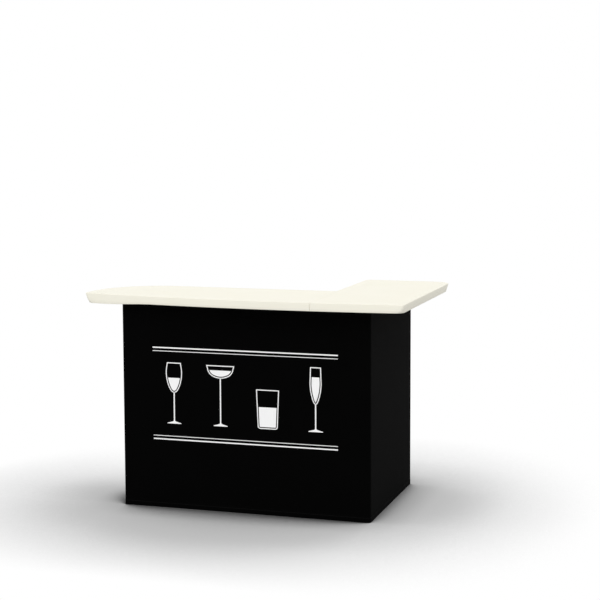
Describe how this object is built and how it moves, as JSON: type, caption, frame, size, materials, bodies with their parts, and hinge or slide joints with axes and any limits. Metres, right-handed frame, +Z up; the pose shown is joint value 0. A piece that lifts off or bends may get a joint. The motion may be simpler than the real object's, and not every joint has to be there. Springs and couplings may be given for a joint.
{
  "type": "folding portable bar",
  "caption": "Free-standing L-shaped folding bar: lift-off moulded counter panels on a corner tower with scissor wings, wrapped in a stretched fabric skirt.",
  "frame": {"origin": "on the floor, under the middle of the counter's bounding box", "axes": "+X to the right along the front, +Y from the front to the serving side, +Z up"},
  "size_m": [1.62, 1.046, 1.05],
  "materials": {
    "counter_plastic": "satin moulded",
    "skirt_fabric": "stretched polyester weave",
    "frame_aluminium": "satin anodised",
    "pin_steel": "zinc plated",
    "fitting_nylon": "moulded nylon",
    "foot_rubber": "matt"
  },
  "bodies": {
    "tower": {"tower_front_left_post": "frame_aluminium", "tower_front_right_post": "frame_aluminium", "tower_back_right_post": "frame_aluminium", "tower_back_left_post": "frame_aluminium", "tower_front_left_foot": "foot_rubber", "tower_front_right_foot": "foot_rubber", "tower_back_right_foot": "foot_rubber", "tower_back_left_foot": "foot_rubber", "tower_front_left_connector": "fitting_nylon", "tower_front_right_connector": "fitting_nylon", "tower_back_right_connector": "fitting_nylon", "tower_back_left_connector": "fitting_nylon", "tower_front_top_rail": "frame_aluminium", "tower_back_top_rail": "frame_aluminium", "tower_left_top_rail": "frame_aluminium", "tower_right_top_rail": "frame_aluminium", "tower_front_low_rail": "frame_aluminium", "tower_left_shelf_rail": "frame_aluminium", "tower_right_shelf_rail": "frame_aluminium", "skirt_front": "skirt_fabric", "skirt_corner": "skirt_fabric", "skirt_side": "skirt_fabric"},
    "front_near_falling": {"front_near_falling_bar": "frame_aluminium", "front_lower_pin": "pin_steel"},
    "front_near_rising": {"front_near_rising_bar": "frame_aluminium", "front_upper_pin": "pin_steel"},
    "front_far_falling": {"front_far_falling_bar": "frame_aluminium"},
    "front_far_rising": {"front_far_rising_bar": "frame_aluminium"},
    "tower_front_slide": {"tower_front_slider": "fitting_nylon"},
    "left_slide": {"left_slider": "fitting_nylon"},
    "left_knob": {"left_lock_knob": "fitting_nylon"},
    "left_frame": {"left_front_post": "frame_aluminium", "left_back_post": "frame_aluminium", "left_front_foot": "foot_rubber", "left_back_foot": "foot_rubber", "left_front_connector": "fitting_nylon", "left_back_connector": "fitting_nylon", "left_top_rail": "frame_aluminium", "left_low_rail": "frame_aluminium", "skirt_left": "skirt_fabric"},
    "side_falling": {"side_falling_bar": "frame_aluminium"},
    "side_rising": {"side_rising_bar": "frame_aluminium"},
    "tower_side_slide": {"tower_side_slider": "fitting_nylon"},
    "wing_slide": {"wing_slider": "fitting_nylon"},
    "wing_knob": {"wing_lock_knob": "fitting_nylon"},
    "wing_frame": {"wing_outer_post": "frame_aluminium", "wing_inner_post": "frame_aluminium", "wing_outer_foot": "foot_rubber", "wing_inner_foot": "foot_rubber", "wing_outer_connector": "fitting_nylon", "wing_inner_connector": "fitting_nylon", "wing_top_rail": "frame_aluminium", "wing_low_rail": "frame_aluminium", "skirt_end": "skirt_fabric"},
    "main_top": {"main_top_shell": "counter_plastic", "main_top_base": "counter_plastic"},
    "return_top": {"return_top_shell": "counter_plastic", "return_top_base": "counter_plastic"},
    "shelf": {"corner_shelf": "counter_plastic"}
  },
  "joints": [
    {"name": "front_fold", "type": "hinge", "parent": "tower", "child": "front_near_falling", "pos_m": [0.23, -0.378, 0.978], "axis": [0, -1, 0], "range_deg": [0, 32], "deforming": ["skirt_front"]},
    {"name": "front_near_cross", "type": "hinge", "parent": "front_near_falling", "child": "front_near_rising", "pos_m": [0.03, -0.378, 0.698], "axis": [0, -1, 0], "range_deg": [-64, 0]},
    {"name": "tower_front_slide_pivot", "type": "hinge", "parent": "front_near_rising", "child": "tower_front_slide", "pos_m": [0.23, -0.378, 0.418], "axis": [0, -1, 0], "range_deg": [0, 32]},
    {"name": "front_far_link", "type": "hinge", "parent": "front_near_rising", "child": "front_far_falling", "pos_m": [-0.17, -0.378, 0.978], "axis": [0, -1, 0], "range_deg": [0, 64]},
    {"name": "front_far_cross", "type": "hinge", "parent": "front_far_falling", "child": "front_far_rising", "pos_m": [-0.37, -0.378, 0.698], "axis": [0, -1, 0], "range_deg": [-64, 0]},
    {"name": "left_slide_pivot", "type": "hinge", "parent": "front_far_falling", "child": "left_slide", "pos_m": [-0.57, -0.378, 0.418], "axis": [0, -1, 0], "range_deg": [-32, 0]},
    {"name": "left_frame_pivot", "type": "hinge", "parent": "front_far_rising", "child": "left_frame", "pos_m": [-0.57, -0.378, 0.978], "axis": [0, -1, 0], "range_deg": [0, 32]},
    {"name": "left_knob_pull", "type": "slide", "parent": "left_slide", "child": "left_knob", "axis": [0, 1, 0], "range_m": [0, 0.008], "stiffness_N_per_m": 600},
    {"name": "side_fold", "type": "hinge", "parent": "tower", "child": "side_falling", "pos_m": [0.604, -0.072, 0.978], "axis": [-1, 0, 0], "range_deg": [0, 32], "deforming": ["skirt_side"]},
    {"name": "side_cross", "type": "hinge", "parent": "side_falling", "child": "side_rising", "pos_m": [0.604, 0.128, 0.698], "axis": [-1, 0, 0], "range_deg": [-64, 0]},
    {"name": "tower_side_slide_pivot", "type": "hinge", "parent": "side_rising", "child": "tower_side_slide", "pos_m": [0.604, -0.072, 0.418], "axis": [-1, 0, 0], "range_deg": [0, 32]},
    {"name": "wing_slide_pivot", "type": "hinge", "parent": "side_falling", "child": "wing_slide", "pos_m": [0.604, 0.328, 0.418], "axis": [-1, 0, 0], "range_deg": [-32, 0]},
    {"name": "wing_frame_pivot", "type": "hinge", "parent": "side_rising", "child": "wing_frame", "pos_m": [0.604, 0.328, 0.978], "axis": [-1, 0, 0], "range_deg": [0, 32]},
    {"name": "wing_knob_pull", "type": "slide", "parent": "wing_slide", "child": "wing_knob", "axis": [-1, 0, 0], "range_m": [0, 0.008], "stiffness_N_per_m": 600},
    {"name": "main_top_lift", "type": "slide", "parent": "tower", "child": "main_top", "axis": [0, 0, 1], "range_m": [0, 0.25]},
    {"name": "return_top_lift", "type": "slide", "parent": "tower", "child": "return_top", "axis": [0, 0, 1], "range_m": [0, 0.25]},
    {"name": "shelf_lift", "type": "slide", "parent": "tower", "child": "shelf", "axis": [0, 0, 1], "range_m": [0, 0.3]}
  ],
  "couplings": [
    {"joint": "front_near_cross", "follows": "front_fold", "ratio": -2},
    {"joint": "tower_front_slide_pivot", "follows": "front_fold", "ratio": 1},
    {"joint": "front_far_link", "follows": "front_fold", "ratio": 2},
    {"joint": "front_far_cross", "follows": "front_fold", "ratio": -2},
    {"joint": "left_slide_pivot", "follows": "front_fold", "ratio": -1},
    {"joint": "left_frame_pivot", "follows": "front_fold", "ratio": 1},
    {"joint": "side_cross", "follows": "side_fold", "ratio": -2},
    {"joint": "tower_side_slide_pivot", "follows": "side_fold", "ratio": 1},
    {"joint": "wing_slide_pivot", "follows": "side_fold", "ratio": -1},
    {"joint": "wing_frame_pivot", "follows": "side_fold", "ratio": 1}
  ]
}
